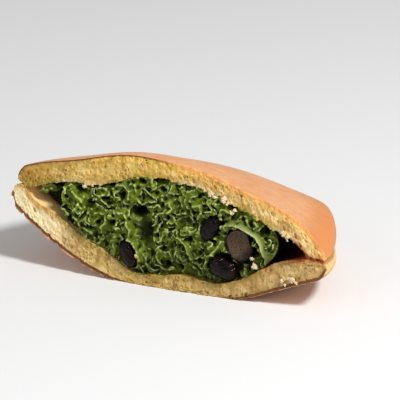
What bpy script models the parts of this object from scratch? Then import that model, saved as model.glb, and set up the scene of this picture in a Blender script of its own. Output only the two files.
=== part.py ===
"""Half of a matcha dorayaki, cut through its middle and lying on its lower pancake.

Two domed castella pancakes close rim to rim over a lens of green bean cream with whole adzuki beans in it.
The cut face looks along -Y and a little up, +X runs along the cut to the right and +Z is up. The origin is on
the surface that the half rests on, where its underside is pressed flat.

Shapes are written in the half's own frame: x along the cut, y into the half from the cut, z up from the plane
of the rims, with x = y = 0 at the middle of the cut. settled() then turns them to the pose at rest.
"""

import math

import bmesh
import bpy
import numpy as np
from mathutils import Euler, Matrix, Vector, noise

MM = 0.001

# Driving dimensions
RADIUS = 45.0 * MM  # of the whole dorayaki
UPPER_RADIUS = 44.0 * MM  # the upper pancake stops just inside the lower one
UPPER_RIM = 4.6 * MM  # thickness of the rims, above and below the line where they meet
LOWER_RIM = 5.2 * MM
UPPER_RISE = 11.6 * MM  # of the skin from the rim to the middle
LOWER_DEPTH = 15.0 * MM
UPPER_THICKNESS = 5.4 * MM  # in the middle
LOWER_THICKNESS = 5.6 * MM
CLOSED_FROM = 0.89  # share of the radius where the rims touch
RIM_START = 0.95  # and where they start to round off
UPPER_UNEVEN = 0.6 * MM  # how far the skins rise and fall
LOWER_UNEVEN = 0.5 * MM
CUT_ROUGHNESS = 0.5 * MM  # of the crumb that the knife left
GAP = 0.3 * MM  # between pieces that touch

# Swellings of each face away from the line where the rims meet, or dents where the height is below 0, in mm:
# x and y of the middle, how wide along x and y, and height
UPPER_SKIN = (
    (-29, 0, 9, 12, -0.9),
    (-12, 0, 9, 10, 0.5),
    (20, 0, 9, 14, -0.75),
    (44, 0, 5, 8, -2.2),
    (-12, 19, 24, 12, -2.2),
    (36, 24, 12, 12, 2.4),
)
UPPER_INSIDE = ((-21, 0, 8, 12, -2.9), (8, 0, 6, 10, 0.5), (35, 0, 4, 8, 0.9))
LOWER_SKIN = ((-25, 0, 18, 20, 0.6), (35, 0, 13, 18, -1.6))
LOWER_INSIDE = (
    (-39, 0, 5, 6, 2.2),
    (-8, 0, 5, 7, 1.7),
    (6.5, 0, 4.5, 7, -1.3),
    (17.5, 0, 4.5, 7, 0.6),
    (31, 0, 6, 9, -2.3),
)

# How the half lies
ROLL = math.radians(5)  # the right end sits lower
LEAN = math.radians(7)  # the cut leans back
PRESSED = 1.6 * MM  # how far the soft underside is pressed flat
LIFT_OFF = 3.0 * MM  # height over which the underside then curves away from the surface

# The cream
CREAM_REACH_RIGHT = 30.5 * MM
CREAM_REACH_LEFT = 39.0 * MM
CREAM_REACH_BACK = 36.5 * MM
CREAM_ROUND_START = 0.86  # share of its reach where the cream's edge rounds off
CREAM_BULGE = 0.6 * MM
CURL_RELIEF = 1.2 * MM
CURL_SIZE = 4.2 * MM
PITS = ((-8.7, 0.3, 1.7, 1.5), (-6.1, -4.4, 2.2, 3.2), (-33.0, -0.6, 1.8, 1.9))  # x, z, wide, tall, in mm
PIT_DEPTH = 2.6 * MM
LIP = 1.5 * MM  # how far a curled lip of cream stands out above the cut bean and to the right of it
LIP_MIDDLE = (19.5 * MM, -6.0 * MM)
LIP_RADIUS = 9.0 * MM
LIP_WIDTH = 1.1 * MM

# Grids: steps round the half, out from its middle, through its thickness
AROUND, OUTWARD, ROUNDING, THROUGH = 40, 11, 4, 4
CREAM_ALONG, CREAM_INWARD, CREAM_UP = 76, 5, 24
BEAN_SEGMENTS, BEAN_RINGS = 20, 13

# Beans: x and z of the middle on the cut, how far behind the cut it is, half width, half depth, half length,
# and how far the long way leans from upright to the left, in degrees
BEANS = (
    (20.7 * MM, -2.2 * MM, 0.6 * MM, 3.6 * MM, 3.3 * MM, 4.5 * MM, 30),
    (16.8 * MM, -9.2 * MM, 1.0 * MM, 2.9 * MM, 3.0 * MM, 4.1 * MM, 80),
    (12.0 * MM, 0.4 * MM, 1.1 * MM, 2.5 * MM, 2.7 * MM, 4.0 * MM, -22),
    (-10.0 * MM, -11.7 * MM, 1.0 * MM, 2.3 * MM, 2.6 * MM, 4.0 * MM, 29),
)
CUT_BEAN = 0  # the knife went through this one, which leaves it flat in front
CUT_BEAN_PROUD = 0.5 * MM
BARREL = 0.5  # how much fuller than an ellipsoid a bean is towards its ends


def clear_scene():
    for obj in list(bpy.data.objects):
        bpy.data.objects.remove(obj, do_unlink=True)


def material(name, colour, roughness):
    made = bpy.data.materials.new(name)
    made.use_nodes = True
    shader = made.node_tree.nodes["Principled BSDF"]
    shader.inputs["Base Color"].default_value = (*colour, 1.0)
    shader.inputs["Roughness"].default_value = roughness
    shader.inputs["Metallic"].default_value = 0.0
    return made


# Shape of the pancakes


def uneven(x, y, phase):
    """A slow rise and fall between about -1 and 1, which keeps the surfaces from being perfect."""
    across = np.sin(x / (11 * MM) + phase) * np.cos(y / (14 * MM) - 0.7 * phase)
    slanted = np.sin((x + 0.8 * y) / (19 * MM) + 2.1 * phase)
    return 0.55 * across + 0.45 * slanted


def upper_outline(angle):
    return UPPER_RADIUS * (1 + 0.010 * np.cos(2 * angle + 0.5) + 0.008 * np.cos(5 * angle + 1.3))


def lower_outline(angle):
    return RADIUS * (1 + 0.008 * np.cos(3 * angle + 2.2) + 0.006 * np.cos(4 * angle + 0.4))


def parting(x, y):
    """Height of the line where the two rims meet."""
    return (-0.7 - 0.5 * x / RADIUS) * MM + 0.5 * MM * np.sin(y / (9 * MM)) * np.cos(x / (16 * MM) + 0.6)


def rounded_rim(share):
    """1 over most of a pancake, closing to 0 at its edge as a quarter circle does."""
    into_rim = np.clip((share - RIM_START) / (1 - RIM_START), 0, 1)
    return np.sqrt(1 - into_rim**2)


def share_of(x, y, outline):
    """How far out a point is, from 0 in the middle to 1 at the outline."""
    return np.minimum(np.hypot(x, y) / outline(np.arctan2(y, x)), 1)


def swellings(x, y, several):
    """Height of several round swellings together."""
    height = 0
    for middle_x, middle_y, wide, deep, top in several:
        away = ((x / MM - middle_x) / wide) ** 2 + ((y / MM - middle_y) / deep) ** 2
        height = height + top * MM * np.exp(-away)
    return height


def outer_height(rim, rise, share):
    """How far a skin is from the line where the rims meet: a dish this deep, and the thickness of its rim."""
    return rim + rise * (1 - share**2)


def inner_height(rim, rise, thickness, share):
    """The same for an inner face, which is this far inside the skin in the middle and meets the other rim."""
    middle = rim + rise - thickness
    return middle * (1 - (share / CLOSED_FROM) ** 2)


def with_round_rim(inner, outer, share):
    inner = np.maximum(inner, GAP / 2)
    middle, half = (inner + outer) / 2, (outer - inner) / 2 * rounded_rim(share)
    return middle - half, middle + half


def upper_faces(x, y):
    """Heights of the upper pancake's inner and outer face. Its batter ran thicker left of the middle."""
    share = share_of(x, y, upper_outline)
    outer = outer_height(UPPER_RIM, UPPER_RISE, share) + UPPER_UNEVEN * uneven(x, y, 2.6) * (1 - share**4)
    outer = outer + swellings(x, y, UPPER_SKIN)
    inner = inner_height(UPPER_RIM, UPPER_RISE, UPPER_THICKNESS, share) + swellings(x, y, UPPER_INSIDE)
    low, high = with_round_rim(inner, outer, share)
    return parting(x, y) + low, parting(x, y) + high


def lower_faces(x, y):
    """Heights of the lower pancake's outer and inner face. It is thinnest left of the middle."""
    share = share_of(x, y, lower_outline)
    outer = outer_height(LOWER_RIM, LOWER_DEPTH, share) + LOWER_UNEVEN * uneven(x, y, 4.1) * (1 - share**4)
    outer = outer + swellings(x, y, LOWER_SKIN)
    inner = inner_height(LOWER_RIM, LOWER_DEPTH, LOWER_THICKNESS, share) + swellings(x, y, LOWER_INSIDE)
    shallow, deep = with_round_rim(inner, outer, share)
    return parting(x, y) - deep, parting(x, y) - shallow


# Shape of the cream


def cream_reach(angle):
    """The cream stops short of the rims, and shortest at the right end of the cut."""
    side = np.where(np.cos(angle) > 0, CREAM_REACH_RIGHT, CREAM_REACH_LEFT)
    along = (np.cos(angle) / side) ** 2
    inward = (np.sin(angle) / CREAM_REACH_BACK) ** 2
    return 1 / np.sqrt(along + inward)


def cream_faces(x, y):
    """Heights of the cream's lower and upper face, a gap away from the pancakes."""
    top = upper_faces(x, y)[0] - GAP
    bottom = lower_faces(x, y)[1] + GAP
    share = np.minimum(np.hypot(x, y) / cream_reach(np.arctan2(y, x)), 1)
    into_edge = np.clip((share - CREAM_ROUND_START) / (1 - CREAM_ROUND_START), 0, 1)
    closing = np.sqrt(1 - into_edge**2)
    middle = (top + bottom) / 2
    return middle + (bottom - middle) * closing, middle + (top - middle) * closing


def curls(x, z):
    """Relief of the torn cream: thin curled ridges round small pits, from about -1 to 1."""
    bend = noise.noise(Vector((x, 0, z)) / (7 * MM))
    place = Vector((x / CURL_SIZE + bend, 3.7, z / CURL_SIZE - bend))
    ridge = 1 - 2.6 * abs(noise.noise(place))
    swell = noise.noise(Vector((x, 9.1 * MM, z)) / (9 * MM))
    return 0.75 * ridge + 0.6 * swell - 0.2


def lip(x, z):
    """A curled lip of cream in an arc round the cut bean, 1 along its crest and fading out past its ends."""
    across, up = x - LIP_MIDDLE[0], z - LIP_MIDDLE[1]
    crest = math.exp(-(((math.hypot(across, up) - LIP_RADIUS) / LIP_WIDTH) ** 2))
    return crest * min(max((across + up) / LIP_RADIUS, 0), 1)


def torn_front(x, z, inside):
    """How far the cream stands out of the cut, where inside is 0 at its edges and 1 midway between them."""
    out = CREAM_BULGE * inside + min(1, 2 * inside) * (CURL_RELIEF * curls(x, z) + LIP * lip(x, z))
    for pit_x, pit_z, wide, tall in PITS:
        out -= PIT_DEPTH * math.exp(-(((x / MM - pit_x) / wide) ** 2) - ((z / MM - pit_z) / tall) ** 2)
    return out


# Laying the half down


def turned(point):
    return Matrix.Rotation(ROLL, 3, "Y") @ Matrix.Rotation(-LEAN, 3, "X") @ Vector(point)


def lowest_point():
    """The lowest point of the turned lower pancake, before it is pressed flat."""
    lowest = Vector()
    for x in np.linspace(-RADIUS / 2, RADIUS / 2, 91):
        for y in np.linspace(0, RADIUS / 2, 46):
            place = turned((x, y, lower_faces(x, y)[0]))
            lowest = min(lowest, place, key=lambda point: point.z)
    return lowest


def settled(bm, lowest):
    """Turns the mesh to the pose at rest. The underside is pressed flat, and curves up softly from there."""
    for vertex in bm.verts:
        place = turned(vertex.co) - lowest
        above = max(place.z - PRESSED, 0.0)
        place.z = above**2 / (2 * LIFT_OFF) if above < LIFT_OFF else above - LIFT_OFF / 2
        vertex.co = place


# Meshes


def finish_object(name, bm, look):
    bmesh.ops.recalc_face_normals(bm, faces=bm.faces)
    mesh = bpy.data.meshes.new(name)
    bm.to_mesh(mesh)
    bm.free()
    mesh.materials.append(look)
    mesh.shade_smooth()
    mesh.set_sharp_from_angle(angle=math.radians(50))
    obj = bpy.data.objects.new(name, mesh)
    bpy.context.scene.collection.objects.link(obj)
    return obj


def grid_faces(bm, rows):
    """Quads between neighbouring rows of vertices. A quad with a repeated corner becomes a triangle."""
    for near, far in zip(rows, rows[1:]):
        for a, b, c, d in zip(near, near[1:], far[1:], far):
            corners = list(dict.fromkeys((a, b, c, d)))
            if len(corners) > 2:
                bm.faces.new(corners)


def outward_shares():
    """Steps from the middle to the outline, closer together where the rim rounds off."""
    flat = [RIM_START * i / OUTWARD for i in range(1, OUTWARD + 1)]
    rim = [RIM_START + (1 - RIM_START) * math.sin(math.pi / 2 * i / ROUNDING) for i in range(1, ROUNDING + 1)]
    return flat + rim


def pancake(name, faces_at, outline, look, lowest):
    """Half of a pancake: a lower and an upper face that meet at the rim, and the cut between them."""
    bm = bmesh.new()
    lower, upper = [], []
    low, high = faces_at(0.0, 0.0)
    middle_low, middle_high = bm.verts.new((0, 0, low)), bm.verts.new((0, 0, high))
    for step in range(AROUND + 1):
        angle = math.pi * step / AROUND
        low_ray, high_ray = [middle_low], [middle_high]
        for share in outward_shares():
            out = share * outline(angle)
            x, y = out * math.cos(angle), out * math.sin(angle)
            low, high = faces_at(x, y)
            if share < 1:
                low_ray.append(bm.verts.new((x, y, low)))
                high_ray.append(bm.verts.new((x, y, high)))
            else:
                edge = bm.verts.new((x, y, (low + high) / 2))
                low_ray.append(edge)
                high_ray.append(edge)
        lower.append(low_ray)
        upper.append(high_ray)
    grid_faces(bm, lower)
    grid_faces(bm, upper)
    bottom_line = lower[-1][::-1] + lower[0][1:]
    top_line = upper[-1][::-1] + upper[0][1:]
    grid_faces(bm, cut_rows(bm, bottom_line, top_line))
    settled(bm, lowest)
    return finish_object(name, bm, look)


def cut_rows(bm, bottom_line, top_line):
    """Rows of vertices that fill the cut between two lines which meet at both ends."""
    rows = [bottom_line]
    for level in range(1, THROUGH):
        row = []
        for below, above in zip(bottom_line, top_line):
            if below is above:
                row.append(below)
                continue
            place = below.co.lerp(above.co, level / THROUGH)
            place.y = CUT_ROUGHNESS * noise.noise(place / (4 * MM))
            row.append(bm.verts.new(place))
        rows.append(row)
    return [*rows, top_line]


def cream(look, lowest):
    """The filling, from its torn front to its hidden round edge."""
    bm = bmesh.new()
    tops, bottoms = [], []
    for i in range(CREAM_ALONG + 1):
        across = -math.cos(math.pi * (0.08 + 0.84 * i / CREAM_ALONG)) / math.cos(math.pi * 0.08)
        x = across * (CREAM_REACH_RIGHT if across > 0 else CREAM_REACH_LEFT)
        back = CREAM_REACH_BACK * math.sqrt(max(1 - across**2, 0))
        top_row, bottom_row = [], []
        for j in range(CREAM_INWARD + 1):
            y = back * math.sin(math.pi / 2 * j / CREAM_INWARD)
            low, high = cream_faces(x, y)
            if j == CREAM_INWARD or back == 0:
                edge = top_row[-1] if back == 0 and j else bm.verts.new((x, y, (low + high) / 2))
                top_row.append(edge)
                bottom_row.append(edge)
            else:
                top_row.append(bm.verts.new((x, y, high)))
                bottom_row.append(bm.verts.new((x, y, low)))
        tops.append(top_row)
        bottoms.append(bottom_row)
    grid_faces(bm, tops)
    grid_faces(bm, bottoms)
    front = [[row[0] for row in bottoms]]
    for level in range(1, CREAM_UP):
        row = []
        for below, above in zip(front[0], (row[0] for row in tops)):
            if below is above:
                row.append(below)
                continue
            place = below.co.lerp(above.co, level / CREAM_UP)
            inside = 4 * level * (CREAM_UP - level) / CREAM_UP**2
            place.y = -torn_front(place.x, place.z, inside)
            row.append(bm.verts.new(place))
        front.append(row)
    front.append([row[0] for row in tops])
    grid_faces(bm, front)
    settled(bm, lowest)
    return finish_object("matcha_cream", bm, look)


def bean_mesh(x, z, behind, half_width, half_depth, half_length, lean, grown=0.0):
    """An adzuki bean: a rounded barrel, a little hollowed along the side where its seam is."""
    bm = bmesh.new()
    bmesh.ops.create_uvsphere(bm, u_segments=BEAN_SEGMENTS, v_segments=BEAN_RINGS, radius=1)
    turn = Euler((0, math.radians(-lean), 0)).to_matrix()
    for vertex in bm.verts:
        side, front, along = vertex.co
        fuller = 1 + BARREL * along**2 * (1 - along**2)
        seam = 0.06 * math.exp(-((side - 0.9) ** 2 + along**2) / 0.16)
        sizes = Vector((half_width + grown, half_depth + grown, half_length + grown))
        shape = Vector((side * fuller - seam, front * fuller, along)) * sizes
        vertex.co = turn @ shape + Vector((x, behind, z))
    return bm


def flatten_front(bm, level):
    """Cuts off what stands in front of level, and closes the cut."""
    geometry = bm.verts[:] + bm.edges[:] + bm.faces[:]
    cut = bmesh.ops.bisect_plane(
        bm, geom=geometry, plane_co=(0, level, 0), plane_no=(0, -1, 0), clear_outer=True, dist=1e-7
    )
    rim = [e for e in cut["geom_cut"] if isinstance(e, bmesh.types.BMEdge)]
    bmesh.ops.contextual_create(bm, geom=rim)


def beans(look, lowest):
    """Makes the beans that show, and gives back a cutter for each one's socket in the cream."""
    cutters = []
    for number, sizes in enumerate(BEANS):
        bm = bean_mesh(*sizes)
        if number == CUT_BEAN:
            flatten_front(bm, -CUT_BEAN_PROUD)
        settled(bm, lowest)
        finish_object(f"adzuki_bean_{number + 1}", bm, look)
        bm = bean_mesh(*sizes, grown=GAP)
        settled(bm, lowest)
        cutters.append(finish_object(f"socket_cutter_{number + 1}", bm, look))
    return cutters


def cut_sockets(obj, cutters):
    for cutter in cutters:
        cutter.hide_render = True
        cutter.display_type = "WIRE"
        socket = obj.modifiers.new(cutter.name, "BOOLEAN")
        socket.operation = "DIFFERENCE"
        socket.solver = "EXACT"
        socket.object = cutter


def main():
    clear_scene()
    crust = material("browned_castella", (0.70, 0.31, 0.12), 0.55)
    green = material("matcha_bean_cream", (0.11, 0.17, 0.03), 0.5)
    bean = material("adzuki", (0.035, 0.014, 0.014), 0.3)
    lowest = lowest_point()
    pancake("upper_pancake", upper_faces, upper_outline, crust, lowest)
    pancake("lower_pancake", lower_faces, lower_outline, crust, lowest)
    filling = cream(green, lowest)
    cut_sockets(filling, beans(bean, lowest))


main()
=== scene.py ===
"""Looks of the cut half of a dorayaki: browned castella, open crumb, torn green bean cream and moist beans.

Pieces repeat the shapes of the solids that they replace, with fine geometry in them. Pancakes and cream
are fields on a lattice that is fine near the cut and coarser behind it, and a surface net turns each field
into a mesh. Lengths are in metres unless a name or a comment says mm.
"""

import math
from collections import namedtuple

import bpy
import numpy as np
from mathutils import Matrix, Vector


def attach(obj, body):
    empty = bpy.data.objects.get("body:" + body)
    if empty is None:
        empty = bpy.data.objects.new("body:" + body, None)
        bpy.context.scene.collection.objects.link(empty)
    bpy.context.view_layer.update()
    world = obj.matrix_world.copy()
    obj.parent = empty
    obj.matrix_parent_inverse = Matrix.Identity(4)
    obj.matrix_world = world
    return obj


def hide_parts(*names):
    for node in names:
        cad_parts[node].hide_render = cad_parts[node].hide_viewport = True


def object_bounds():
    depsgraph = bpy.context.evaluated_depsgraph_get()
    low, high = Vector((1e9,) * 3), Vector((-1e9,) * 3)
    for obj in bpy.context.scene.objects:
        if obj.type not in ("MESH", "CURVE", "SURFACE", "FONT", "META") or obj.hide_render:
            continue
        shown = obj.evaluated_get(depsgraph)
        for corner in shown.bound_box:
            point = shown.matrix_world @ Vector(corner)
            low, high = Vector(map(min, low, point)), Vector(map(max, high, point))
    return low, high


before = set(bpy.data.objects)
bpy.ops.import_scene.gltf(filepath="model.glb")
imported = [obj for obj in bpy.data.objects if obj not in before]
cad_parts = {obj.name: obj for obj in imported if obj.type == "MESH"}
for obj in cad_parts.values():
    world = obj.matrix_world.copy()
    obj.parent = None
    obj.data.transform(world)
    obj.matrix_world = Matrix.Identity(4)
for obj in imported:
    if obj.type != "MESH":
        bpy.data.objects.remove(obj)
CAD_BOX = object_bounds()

MM = 0.001

# The half's dimensions, as in its solids apart from GAP
RADIUS = 45.0 * MM
UPPER_RADIUS = 44.0 * MM
UPPER_RIM = 4.6 * MM  # thickness of the rims
LOWER_RIM = 5.2 * MM
UPPER_RISE = 11.6 * MM  # of the skin from the rim to the middle
LOWER_DEPTH = 15.0 * MM
UPPER_THICKNESS = 5.4 * MM
LOWER_THICKNESS = 5.6 * MM
CLOSED_FROM = 0.89  # share of the radius where the rims touch
RIM_START = 0.95  # and where they start to round off
UPPER_UNEVEN = 0.6 * MM
LOWER_UNEVEN = 0.5 * MM
GAP = 0.06 * MM  # between the rims: 0.3 mm in the solids, and here too narrow for light
ROLL = math.radians(5)  # the right end sits lower
LEAN = math.radians(7)  # the cut leans back
PRESSED = 1.6 * MM  # how far the soft underside is pressed flat
LIFT_OFF = 3.0 * MM  # height over which the underside then curves away
CREAM_REACH_RIGHT = 30.5 * MM
CREAM_REACH_LEFT = 39.0 * MM
CREAM_REACH_BACK = 36.5 * MM
CREAM_ROUND_START = 0.86  # share of its reach where the cream's edge rounds off

# Swellings of the faces, in mm: x and y of the middle, how wide along x and y, and height
UPPER_SKIN = (
    (-29, 0, 9, 12, -0.9), (-12, 0, 9, 10, 0.5), (20, 0, 9, 14, -0.75), (44, 0, 5, 8, -2.2),
    (-12, 19, 24, 12, -2.2), (36, 24, 12, 12, 2.4),
)
UPPER_INSIDE = ((-21, 0, 8, 12, -2.9), (8, 0, 6, 10, 0.5), (35, 0, 4, 8, 0.9))
LOWER_SKIN = ((-25, 0, 18, 20, 0.6), (35, 0, 13, 18, -1.6))
LOWER_INSIDE = (
    (-39, 0, 5, 6, 2.2), (-8, 0, 5, 7, 1.7), (6.5, 0, 4.5, 7, -1.3), (17.5, 0, 4.5, 7, 0.6),
    (31, 0, 6, 9, -2.3),
)

# Middle and half sizes of a bean in mm, its lean to the left in degrees, how far out the cream has come
# off it as a share of its half sizes, and how far behind the cut it lies there, in mm
Bean = namedtuple("Bean", "x z y width depth length lean bared recess")
BEANS = (
    Bean(20.7, -2.2, 0.6, 3.6, 3.3, 4.5, 30, 1.07, 3.0),
    Bean(16.8, -9.2, 1.0, 2.9, 3.0, 4.1, 80, 1.07, 1.3),
    Bean(12.0, 0.4, 1.1, 2.5, 2.7, 4.0, -22, 0.88, 1.3),
    Bean(-10.0, -11.7, 1.0, 2.3, 2.6, 4.0, 29, 0.98, 1.3),
)
CUT_BEAN = 0  # the knife went through this one
CUT_BEAN_FRONT = -0.5 * MM
BARREL = 0.5  # how much fuller than an ellipsoid a bean is towards its ends

# Steps of the lattices near the cut, how they grow behind it, and the most that a piece may have
PANCAKE_PITCH, PANCAKE_GROWTH, PANCAKE_WIDEST = 0.17 * MM, 1.09, 1.0 * MM
CREAM_PITCH, CREAM_GROWTH, CREAM_WIDEST = 0.21 * MM, 1.15, 1.6 * MM
MOST_TRIANGLES = 190000


# Noise


class Noise:
    """Gradient noise between about -1 and 1, the same for a seed each time.

    With a length such as 0.05 added to x it is another stretch, unlike the first.
    """

    SWING = 1.6  # brings it to that range

    def __init__(self, seed):
        rng = np.random.default_rng(seed)
        order = rng.permutation(256).astype(np.int32)
        self.order = np.concatenate([order, order, order[:2]])
        slopes = rng.normal(size=(256, 3))
        self.slopes = (slopes / np.linalg.norm(slopes, axis=1)[:, None]).astype(np.float32)

    def __call__(self, x, y, z, size):
        """Noise at points in metres, whose rises and falls are about size mm across."""
        scale = 1 / (size * MM)
        x, y, z = np.broadcast_arrays(np.float32(x * scale), np.float32(y * scale), np.float32(z * scale))
        cell = [np.floor(a).astype(np.int32) for a in (x, y, z)]
        part = [a - c for a, c in zip((x, y, z), cell)]
        fade = [p * p * p * (p * (p * 6 - 15) + 10) for p in part]
        low = [c & 255 for c in cell]
        total = np.zeros(x.shape, np.float32)
        for i in (0, 1):
            first = self.order[low[0] + i]
            for j in (0, 1):
                second = self.order[first + low[1] + j]
                for k in (0, 1):
                    slope = self.slopes[self.order[second + low[2] + k]]
                    reach = slope[..., 0] * (part[0] - i) + slope[..., 1] * (part[1] - j)
                    reach = reach + slope[..., 2] * (part[2] - k)
                    weight = (fade[0] if i else 1 - fade[0]) * (fade[1] if j else 1 - fade[1])
                    total += reach * weight * (fade[2] if k else 1 - fade[2])
        return total * self.SWING


UNITLESS = 1 / MM  # size for noise that is read at points without a unit


def hump(distance, width):
    return np.exp(-((distance / width) ** 2))


def rising(value, low, high):
    """0 below low, 1 above high and smooth between them."""
    part = np.clip((value - low) / (high - low), 0, 1)
    return part * part * (3 - 2 * part)


# Shapes of the half, in its own frame: x along the cut, y into the half, z up from the plane of the rims


def uneven(x, y, phase):
    """A slow rise and fall between about -1 and 1, so that no surface is perfect."""
    across = np.sin(x / (11 * MM) + phase) * np.cos(y / (14 * MM) - 0.7 * phase)
    slanted = np.sin((x + 0.8 * y) / (19 * MM) + 2.1 * phase)
    return 0.55 * across + 0.45 * slanted


def upper_outline(angle):
    return UPPER_RADIUS * (1 + 0.010 * np.cos(2 * angle + 0.5) + 0.008 * np.cos(5 * angle + 1.3))


def lower_outline(angle):
    return RADIUS * (1 + 0.008 * np.cos(3 * angle + 2.2) + 0.006 * np.cos(4 * angle + 0.4))


def parting(x, y):
    """Height of the line where the two rims meet."""
    return (-0.7 - 0.5 * x / RADIUS) * MM + 0.5 * MM * np.sin(y / (9 * MM)) * np.cos(x / (16 * MM) + 0.6)


def swellings(x, y, several):
    height = 0
    for middle_x, middle_y, wide, deep, top in several:
        away = ((x / MM - middle_x) / wide) ** 2 + ((y / MM - middle_y) / deep) ** 2
        height = height + top * MM * np.exp(-away)
    return height


def faces(share, x, y, rim, rise, thickness, slow, skin, inside):
    """Middle height of a pancake, away from the line of the rims, and half thickness."""
    held = np.minimum(share, 1)
    outer = rim + rise * (1 - held**2) + slow * (1 - held**4)
    outer = outer + swellings(x, y, skin)
    inner = (rim + rise - thickness) * (1 - (held / CLOSED_FROM) ** 2)
    inner = np.maximum(inner + swellings(x, y, inside), GAP / 2)
    return (outer + inner) / 2, (outer - inner) / 2


def upper_layer(x, y):
    """Share of the outline, middle height and half thickness of the upper pancake."""
    share = np.hypot(x, y) / upper_outline(np.arctan2(y, x))
    slow = UPPER_UNEVEN * uneven(x, y, 2.6)
    middle, half = faces(share, x, y, UPPER_RIM, UPPER_RISE, UPPER_THICKNESS, slow, UPPER_SKIN, UPPER_INSIDE)
    return share, parting(x, y) + middle, half


def lower_layer(x, y):
    """The same of the lower pancake, whose outer face looks down."""
    share = np.hypot(x, y) / lower_outline(np.arctan2(y, x))
    slow = LOWER_UNEVEN * uneven(x, y, 4.1)
    middle, half = faces(share, x, y, LOWER_RIM, LOWER_DEPTH, LOWER_THICKNESS, slow, LOWER_SKIN, LOWER_INSIDE)
    return share, parting(x, y) - middle, half


def rim_share(share):
    """0 until the rim starts to round off, and 1 at the outline."""
    return np.maximum((share - RIM_START) / (1 - RIM_START), 0)


TURN = np.array(Matrix.Rotation(ROLL, 3, "Y") @ Matrix.Rotation(-LEAN, 3, "X"))


def find_lowest():
    """The lowest point of the turned lower pancake, which becomes the origin."""
    along, inward = np.linspace(-RADIUS / 2, RADIUS / 2, 91), np.linspace(0, RADIUS / 2, 46)
    x, y = np.meshgrid(along, inward, indexing="ij")
    _, middle, half = lower_layer(x, y)
    places = np.stack([x, y, middle - half], -1).reshape(-1, 3) @ TURN.T
    return places[np.argmin(places[:, 2])]


LOWEST = find_lowest()


def settled(points):
    """From the half's own frame to the pose at rest, with the underside pressed flat."""
    places = points @ TURN.T - LOWEST
    above = np.maximum(places[:, 2] - PRESSED, 0)
    places[:, 2] = np.where(above < LIFT_OFF, above**2 / (2 * LIFT_OFF), above - LIFT_OFF / 2)
    return places


# From fields to meshes

CORNERS = [(i, j, k) for i in (0, 1) for j in (0, 1) for k in (0, 1)]


def layers(start, fine_to, end, pitch, growth, widest):
    """Steps that are one pitch apart up to fine_to and then grow."""
    steps = list(np.arange(start, fine_to, pitch))
    gap = pitch
    while steps[-1] < end:
        gap = min(gap * growth, widest)
        steps.append(steps[-1] + gap)
    return np.array(steps)


def crossed_cells(inside):
    """The cells of the lattice that the surface passes through."""
    shape = [n - 1 for n in inside.shape]
    count = np.zeros(shape, np.uint8)
    for i, j, k in CORNERS:
        count += inside[i : i + shape[0], j : j + shape[1], k : k + shape[2]]
    return np.argwhere((count > 0) & (count < len(CORNERS)))


def net_points(field, axes, cells):
    """A point in each cell, midway between the places where the surface crosses its edges."""
    values = {corner: field[tuple((cells + corner).T)].astype(np.float64) for corner in CORNERS}
    total = np.zeros((len(cells), 3))
    crossings = np.zeros(len(cells))
    for a in CORNERS:
        for axis in range(3):
            if a[axis]:
                continue
            b = tuple(1 if n == axis else v for n, v in enumerate(a))
            crosses = (values[a] < 0) != (values[b] < 0)
            place = np.tile(np.array(a, float), (len(cells), 1))
            place[:, axis] = np.where(crosses, values[a] / np.where(crosses, values[a] - values[b], 1), 0)
            total += place * crosses[:, None]
            crossings += crosses
    spots = cells + total / crossings[:, None]
    return np.stack([np.interp(spots[:, n], np.arange(len(axes[n])), axes[n]) for n in range(3)], -1)


def net_quads(inside, cells):
    """A quad round each edge that the surface crosses, between the four cells at that edge."""
    number = np.full([n - 1 for n in inside.shape], -1, np.int32)
    number[tuple(cells.T)] = np.arange(len(cells))
    quads = []
    for axis in range(3):
        here = np.take(inside, range(inside.shape[axis] - 1), axis)
        there = np.take(inside, range(1, inside.shape[axis]), axis)
        edges = np.argwhere(here != there)
        others = [n for n in range(3) if n != axis]
        whole = np.all([(edges[:, n] > 0) & (edges[:, n] < inside.shape[n] - 1) for n in others], axis=0)
        edges = edges[whole]
        outward = here[tuple(edges.T)]
        ring = []
        for back in ((1, 1), (0, 1), (0, 0), (1, 0)):
            cell = edges.copy()
            cell[:, others] -= back
            ring.append(number[tuple(cell.T)])
        ring = np.stack(ring, -1)
        turned = outward if axis != 1 else ~outward
        quads.append(np.where(turned[:, None], ring, ring[:, ::-1]))
    return np.concatenate(quads)


def surface_net(field, axes):
    """Vertices and quads of the surface where field is 0, with field below 0 inside."""
    inside = field < 0
    cells = crossed_cells(inside)
    return net_points(field, axes, cells), net_quads(inside, cells)


def largest_part(points, quads):
    """Drops loose scraps, which aren't joined to the largest part."""
    label = np.arange(len(points))
    pairs = np.concatenate([quads[:, [0, 1]], quads[:, [1, 2]], quads[:, [2, 3]], quads[:, [3, 0]]])
    while True:
        lowest = np.minimum(label[pairs[:, 0]], label[pairs[:, 1]])
        new = label.copy()
        np.minimum.at(new, pairs[:, 0], lowest)
        np.minimum.at(new, pairs[:, 1], lowest)
        new = new[new]
        if np.array_equal(new, label):
            break
        label = new
    kept = label == np.bincount(label).argmax()
    number = np.cumsum(kept) - 1
    return points[kept], number[quads[kept[quads[:, 0]]]]


def linked(name, data):
    obj = bpy.data.objects.new(name, data)
    bpy.context.scene.collection.objects.link(obj)
    return obj


def mesh_from(name, points, quads):
    mesh = bpy.data.meshes.new(name)
    mesh.vertices.add(len(points))
    mesh.vertices.foreach_set("co", points.astype(np.float32).ravel())
    mesh.loops.add(quads.size)
    mesh.loops.foreach_set("vertex_index", quads.astype(np.int32).ravel())
    mesh.polygons.add(len(quads))
    mesh.polygons.foreach_set("loop_start", np.arange(0, quads.size, 4, dtype=np.int32))
    mesh.polygons.foreach_set("loop_total", np.full(len(quads), 4, np.int32))
    mesh.update(calc_edges=True)
    mesh.validate()
    return linked(name, mesh)


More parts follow.
